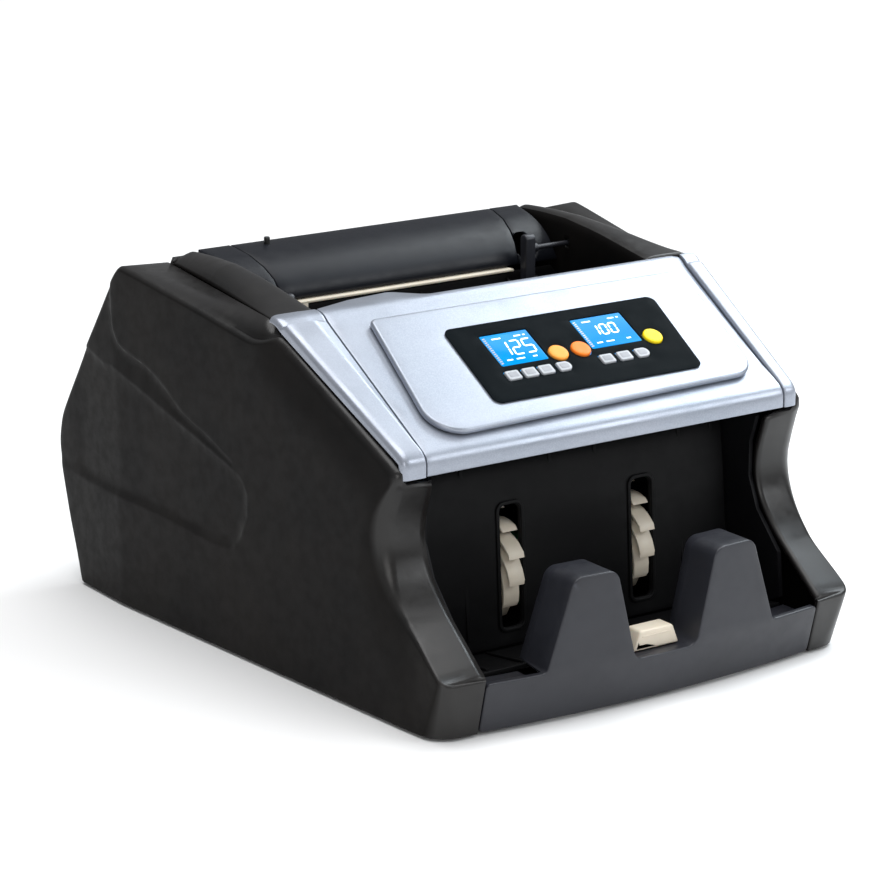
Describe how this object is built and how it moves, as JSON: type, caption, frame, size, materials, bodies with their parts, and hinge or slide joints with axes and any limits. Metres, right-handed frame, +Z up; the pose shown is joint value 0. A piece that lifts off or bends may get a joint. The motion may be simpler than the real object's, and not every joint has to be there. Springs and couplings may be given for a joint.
{
  "type": "banknote counting machine",
  "caption": "Desktop banknote counter: top hopper over feed rollers, sloping key panel with two displays, and a front pocket with finned stacker wheels behind a plate with two tapering fingers.",
  "frame": {"origin": "middle of the footprint, at the height of the feet's soles", "axes": "+X to the right as the user faces the machine, +Y to its back, +Z up"},
  "size_m": [0.254, 0.294, 0.1641],
  "materials": {
    "charcoal_plastic": "fine satin texture",
    "slate_plastic": "satin with a faint sparkle",
    "silver_plastic": "silver metallic satin",
    "label_black": "smooth printed film",
    "screen_blue": "backlit window",
    "button_orange": "smooth",
    "button_deep_orange": "smooth",
    "button_yellow": "smooth",
    "key_grey": "satin",
    "cream_plastic": "satin",
    "roller_rubber": "ground rubber",
    "foot_rubber": "matte",
    "belt_rubber": "matte",
    "frame_steel": "plated sheet",
    "circuit_board": "solder mask",
    "transformer_core": "varnished",
    "black_fittings": "satin"
  },
  "bodies": {
    "body": {"left_side_shell": "charcoal_plastic", "right_side_shell": "charcoal_plastic", "rear_cover": "charcoal_plastic", "base_tray": "charcoal_plastic", "foot_front_left": "foot_rubber", "foot_front_right": "foot_rubber", "foot_rear_left": "foot_rubber", "foot_rear_right": "foot_rubber", "left_hopper_cheek": "charcoal_plastic", "right_hopper_cheek": "charcoal_plastic", "hopper_back_cover": "slate_plastic", "hopper_corner_left": "charcoal_plastic", "hopper_corner_right": "charcoal_plastic", "hopper_light_plate": "cream_plastic", "hopper_floor": "charcoal_plastic", "hopper_front_wall": "charcoal_plastic", "control_panel": "silver_plastic", "panel_strip_left": "silver_plastic", "panel_strip_right": "silver_plastic", "panel_fascia": "silver_plastic", "display_label": "label_black", "count_screen": "screen_blue", "batch_screen": "screen_blue", "display_board": "circuit_board", "stacker_front_plate": "slate_plastic", "stack_sensor_block": "cream_plastic", "stacker_floor": "charcoal_plastic", "stacker_back_plate": "charcoal_plastic", "frame_plate_left": "frame_steel", "frame_plate_right": "frame_steel", "tie_rod": "frame_steel", "retard_roller": "roller_rubber", "main_motor": "frame_steel", "drive_belt": "belt_rubber", "pickup_belt": "belt_rubber", "stacker_belt": "belt_rubber", "note_chute": "charcoal_plastic", "mains_inlet": "black_fittings", "switch_frame": "black_fittings", "main_board": "circuit_board", "transformer": "transformer_core"},
    "feed_drum_body": {"feed_drum": "roller_rubber"},
    "pickup_body": {"pickup_roller": "roller_rubber"},
    "stacker_body": {"stacker_shaft": "frame_steel", "stacker_wheel_left": "cream_plastic", "stacker_wheel_right": "cream_plastic"},
    "motor_rotor": {"motor_pulley": "frame_steel"},
    "guide_right": {"hopper_guide_right": "slate_plastic"},
    "guide_left": {"hopper_guide_left": "slate_plastic"},
    "rocker": {"power_rocker": "black_fittings"},
    "start_button_cap": {"start_button": "button_orange"},
    "batch_button_cap": {"batch_button": "button_deep_orange"},
    "reset_button_cap": {"reset_button": "button_yellow"},
    "key_1_cap": {"key_1": "key_grey"},
    "key_2_cap": {"key_2": "key_grey"},
    "key_3_cap": {"key_3": "key_grey"},
    "key_4_cap": {"key_4": "key_grey"},
    "key_5_cap": {"key_5": "key_grey"},
    "key_6_cap": {"key_6": "key_grey"},
    "key_7_cap": {"key_7": "key_grey"}
  },
  "joints": [
    {"name": "feed_drum_spin", "type": "hinge", "parent": "body", "child": "feed_drum_body", "pos_m": [0, 0.018, 0.0875], "axis": [1, 0, 0], "continuous": true},
    {"name": "pickup_spin", "type": "hinge", "parent": "body", "child": "pickup_body", "pos_m": [0, 0.0575, 0.122], "axis": [1, 0, 0], "continuous": true},
    {"name": "stacker_spin", "type": "hinge", "parent": "body", "child": "stacker_body", "pos_m": [0, -0.062, 0.048], "axis": [1, 0, 0], "continuous": true},
    {"name": "motor_spin", "type": "hinge", "parent": "body", "child": "motor_rotor", "pos_m": [0, 0.088, 0.036], "axis": [1, 0, 0], "continuous": true},
    {"name": "guide_right_slide", "type": "slide", "parent": "body", "child": "guide_right", "axis": [1, 0, 0], "range_m": [-0.016, 0.008]},
    {"name": "guide_left_slide", "type": "slide", "parent": "body", "child": "guide_left", "axis": [-1, 0, 0], "range_m": [-0.016, 0.008]},
    {"name": "power_rocker_tilt", "type": "hinge", "parent": "body", "child": "rocker", "pos_m": [0.072, 0.138, 0.03], "axis": [0, -0.2809, -0.9597], "range_deg": [0, 12]},
    {"name": "start_button_press", "type": "slide", "parent": "body", "child": "start_button_cap", "axis": [0, 0.4664, -0.8846], "range_m": [0, 0.0008], "stiffness_N_per_m": 400},
    {"name": "batch_button_press", "type": "slide", "parent": "body", "child": "batch_button_cap", "axis": [0, 0.4664, -0.8846], "range_m": [0, 0.0008], "stiffness_N_per_m": 400},
    {"name": "reset_button_press", "type": "slide", "parent": "body", "child": "reset_button_cap", "axis": [0, 0.4664, -0.8846], "range_m": [0, 0.0008], "stiffness_N_per_m": 400},
    {"name": "key_1_press", "type": "slide", "parent": "body", "child": "key_1_cap", "axis": [0, 0.4664, -0.8846], "range_m": [0, 0.0008], "stiffness_N_per_m": 400},
    {"name": "key_2_press", "type": "slide", "parent": "body", "child": "key_2_cap", "axis": [0, 0.4664, -0.8846], "range_m": [0, 0.0008], "stiffness_N_per_m": 400},
    {"name": "key_3_press", "type": "slide", "parent": "body", "child": "key_3_cap", "axis": [0, 0.4664, -0.8846], "range_m": [0, 0.0008], "stiffness_N_per_m": 400},
    {"name": "key_4_press", "type": "slide", "parent": "body", "child": "key_4_cap", "axis": [0, 0.4664, -0.8846], "range_m": [0, 0.0008], "stiffness_N_per_m": 400},
    {"name": "key_5_press", "type": "slide", "parent": "body", "child": "key_5_cap", "axis": [0, 0.4664, -0.8846], "range_m": [0, 0.0008], "stiffness_N_per_m": 400},
    {"name": "key_6_press", "type": "slide", "parent": "body", "child": "key_6_cap", "axis": [0, 0.4664, -0.8846], "range_m": [0, 0.0008], "stiffness_N_per_m": 400},
    {"name": "key_7_press", "type": "slide", "parent": "body", "child": "key_7_cap", "axis": [0, 0.4664, -0.8846], "range_m": [0, 0.0008], "stiffness_N_per_m": 400}
  ],
  "couplings": [
    {"joint": "pickup_spin", "follows": "feed_drum_spin", "ratio": 1},
    {"joint": "stacker_spin", "follows": "feed_drum_spin", "ratio": 1},
    {"joint": "motor_spin", "follows": "feed_drum_spin", "ratio": 1.75},
    {"joint": "guide_left_slide", "follows": "guide_right_slide", "ratio": 1}
  ]
}
